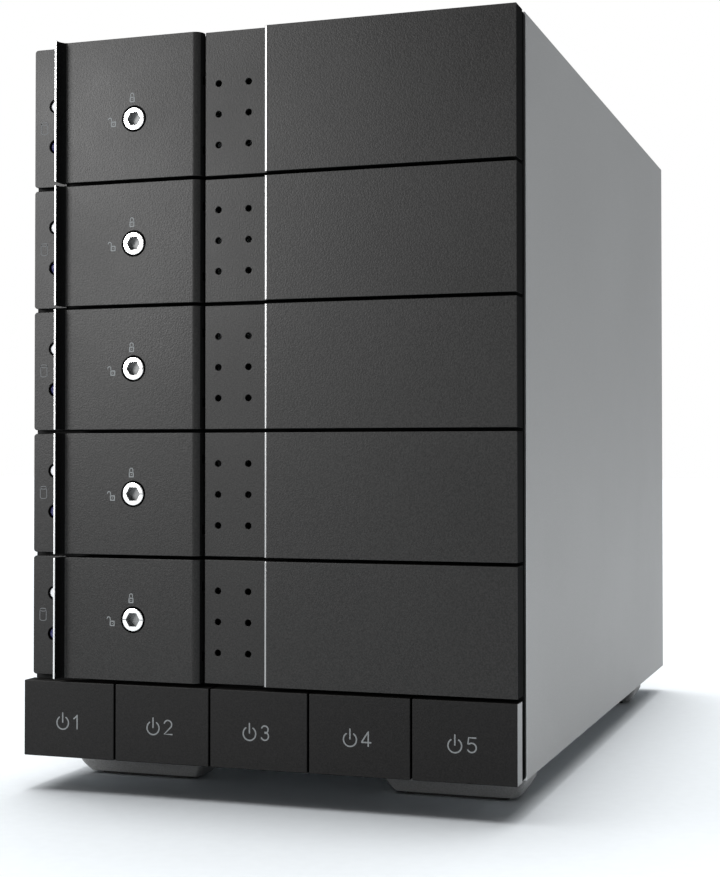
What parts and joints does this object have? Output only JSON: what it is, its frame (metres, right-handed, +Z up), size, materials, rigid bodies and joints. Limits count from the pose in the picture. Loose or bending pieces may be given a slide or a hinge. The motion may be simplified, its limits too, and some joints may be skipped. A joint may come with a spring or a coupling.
{
  "type": "drive enclosure",
  "caption": "Box-shaped drive enclosure with pull-out trays, hinged locking levers, a row of push buttons and a rear fan.",
  "frame": {"origin": "under the middle of the whole part, on the surface that the feet stand on", "axes": "-Y is the front with the bays, +X is to the right seen from the front, +Z is up"},
  "size_m": [0.1336, 0.2442, 0.197],
  "materials": {
    "aluminium_shell": "satin, fine brushed",
    "sheet_steel": "plain zinc-plated sheet",
    "charcoal_front": "satin with fine metallic grain",
    "black_frame": "matt black",
    "dark_button": "satin, dark grey",
    "tray_plastic": "matt, fine grain",
    "lock_metal": "satin chrome",
    "pin_steel": "polished steel",
    "clear_lamp": "clear, polished",
    "circuit_board": "green lacquer",
    "black_connector": "matt black",
    "rear_paint": "fine textured black powder coat",
    "fan_plastic": "satin black",
    "port_metal": "nickel-plated",
    "foot_rubber": "matt, dark grey"
  },
  "bodies": {
    "chassis": {"outer_shell": "aluminium_shell", "base_plate": "sheet_steel", "front_frame": "black_frame", "rear_panel": "rear_paint", "cage_left": "sheet_steel", "cage_right": "sheet_steel", "cage_shelf": "sheet_steel", "backplane_board": "circuit_board", "lamp_board": "circuit_board", "button_board": "circuit_board", "controller_board": "circuit_board", "data_port": "port_metal", "power_inlet": "black_connector", "fan_frame": "fan_plastic", "fan_guard": "pin_steel", "front_left_foot": "foot_rubber", "front_right_foot": "foot_rubber", "rear_left_foot": "foot_rubber", "rear_right_foot": "foot_rubber", "drive_socket_1": "black_connector", "drive_socket_2": "black_connector", "drive_socket_3": "black_connector", "drive_socket_4": "black_connector", "drive_socket_5": "black_connector"},
    "tray_1": {"tray_sled_1": "tray_plastic", "tray_bezel_1": "charcoal_front", "lever_pin_1": "pin_steel", "light_guide_1": "clear_lamp"},
    "lever_1": {"tray_lever_1": "charcoal_front"},
    "lock_1": {"lock_cylinder_1": "lock_metal"},
    "button_1": {"power_button_1": "dark_button"},
    "tray_2": {"tray_sled_2": "tray_plastic", "tray_bezel_2": "charcoal_front", "lever_pin_2": "pin_steel", "light_guide_2": "clear_lamp"},
    "lever_2": {"tray_lever_2": "charcoal_front"},
    "lock_2": {"lock_cylinder_2": "lock_metal"},
    "button_2": {"power_button_2": "dark_button"},
    "tray_3": {"tray_sled_3": "tray_plastic", "tray_bezel_3": "charcoal_front", "lever_pin_3": "pin_steel", "light_guide_3": "clear_lamp"},
    "lever_3": {"tray_lever_3": "charcoal_front"},
    "lock_3": {"lock_cylinder_3": "lock_metal"},
    "button_3": {"power_button_3": "dark_button"},
    "tray_4": {"tray_sled_4": "tray_plastic", "tray_bezel_4": "charcoal_front", "lever_pin_4": "pin_steel", "light_guide_4": "clear_lamp"},
    "lever_4": {"tray_lever_4": "charcoal_front"},
    "lock_4": {"lock_cylinder_4": "lock_metal"},
    "button_4": {"power_button_4": "dark_button"},
    "tray_5": {"tray_sled_5": "tray_plastic", "tray_bezel_5": "charcoal_front", "lever_pin_5": "pin_steel", "light_guide_5": "clear_lamp"},
    "lever_5": {"tray_lever_5": "charcoal_front"},
    "lock_5": {"lock_cylinder_5": "lock_metal"},
    "button_5": {"power_button_5": "dark_button"},
    "fan_rotor": {"fan_rotor": "fan_plastic"}
  },
  "joints": [
    {"name": "tray_1_slide", "type": "slide", "parent": "chassis", "child": "tray_1", "axis": [0, -1, 0], "range_m": [0, 0.14]},
    {"name": "lever_1_hinge", "type": "hinge", "parent": "tray_1", "child": "lever_1", "pos_m": [-0.0184, -0.11655, 0.17561], "axis": [0, 0, 1], "range_deg": [0, 80]},
    {"name": "lock_1_turn", "type": "hinge", "parent": "lever_1", "child": "lock_1", "pos_m": [-0.03495, -0.11895, 0.17561], "axis": [0, -1, 0], "range_deg": [0, 90]},
    {"name": "tray_2_slide", "type": "slide", "parent": "chassis", "child": "tray_2", "axis": [0, -1, 0], "range_m": [0, 0.14]},
    {"name": "lever_2_hinge", "type": "hinge", "parent": "tray_2", "child": "lever_2", "pos_m": [-0.0184, -0.11655, 0.14311], "axis": [0, 0, 1], "range_deg": [0, 80]},
    {"name": "lock_2_turn", "type": "hinge", "parent": "lever_2", "child": "lock_2", "pos_m": [-0.03495, -0.11895, 0.14311], "axis": [0, -1, 0], "range_deg": [0, 90]},
    {"name": "tray_3_slide", "type": "slide", "parent": "chassis", "child": "tray_3", "axis": [0, -1, 0], "range_m": [0, 0.14]},
    {"name": "lever_3_hinge", "type": "hinge", "parent": "tray_3", "child": "lever_3", "pos_m": [-0.0184, -0.11655, 0.1106], "axis": [0, 0, 1], "range_deg": [0, 80]},
    {"name": "lock_3_turn", "type": "hinge", "parent": "lever_3", "child": "lock_3", "pos_m": [-0.03495, -0.11895, 0.1106], "axis": [0, -1, 0], "range_deg": [0, 90]},
    {"name": "tray_4_slide", "type": "slide", "parent": "chassis", "child": "tray_4", "axis": [0, -1, 0], "range_m": [0, 0.14]},
    {"name": "lever_4_hinge", "type": "hinge", "parent": "tray_4", "child": "lever_4", "pos_m": [-0.0184, -0.11655, 0.0781], "axis": [0, 0, 1], "range_deg": [0, 80]},
    {"name": "lock_4_turn", "type": "hinge", "parent": "lever_4", "child": "lock_4", "pos_m": [-0.03495, -0.11895, 0.0781], "axis": [0, -1, 0], "range_deg": [0, 90]},
    {"name": "tray_5_slide", "type": "slide", "parent": "chassis", "child": "tray_5", "axis": [0, -1, 0], "range_m": [0, 0.14]},
    {"name": "lever_5_hinge", "type": "hinge", "parent": "tray_5", "child": "lever_5", "pos_m": [-0.0184, -0.11655, 0.0456], "axis": [0, 0, 1], "range_deg": [0, 80]},
    {"name": "lock_5_turn", "type": "hinge", "parent": "lever_5", "child": "lock_5", "pos_m": [-0.03495, -0.11895, 0.0456], "axis": [0, -1, 0], "range_deg": [0, 90]},
    {"name": "button_1_press", "type": "slide", "parent": "chassis", "child": "button_1", "axis": [0, 1, 0], "range_m": [0, 0.0015], "stiffness_N_per_m": 400},
    {"name": "button_2_press", "type": "slide", "parent": "chassis", "child": "button_2", "axis": [0, 1, 0], "range_m": [0, 0.0015], "stiffness_N_per_m": 400},
    {"name": "button_3_press", "type": "slide", "parent": "chassis", "child": "button_3", "axis": [0, 1, 0], "range_m": [0, 0.0015], "stiffness_N_per_m": 400},
    {"name": "button_4_press", "type": "slide", "parent": "chassis", "child": "button_4", "axis": [0, 1, 0], "range_m": [0, 0.0015], "stiffness_N_per_m": 400},
    {"name": "button_5_press", "type": "slide", "parent": "chassis", "child": "button_5", "axis": [0, 1, 0], "range_m": [0, 0.0015], "stiffness_N_per_m": 400},
    {"name": "fan_spin", "type": "hinge", "parent": "chassis", "child": "fan_rotor", "pos_m": [0, 0.11755, 0.124], "axis": [0, 1, 0], "continuous": true}
  ]
}
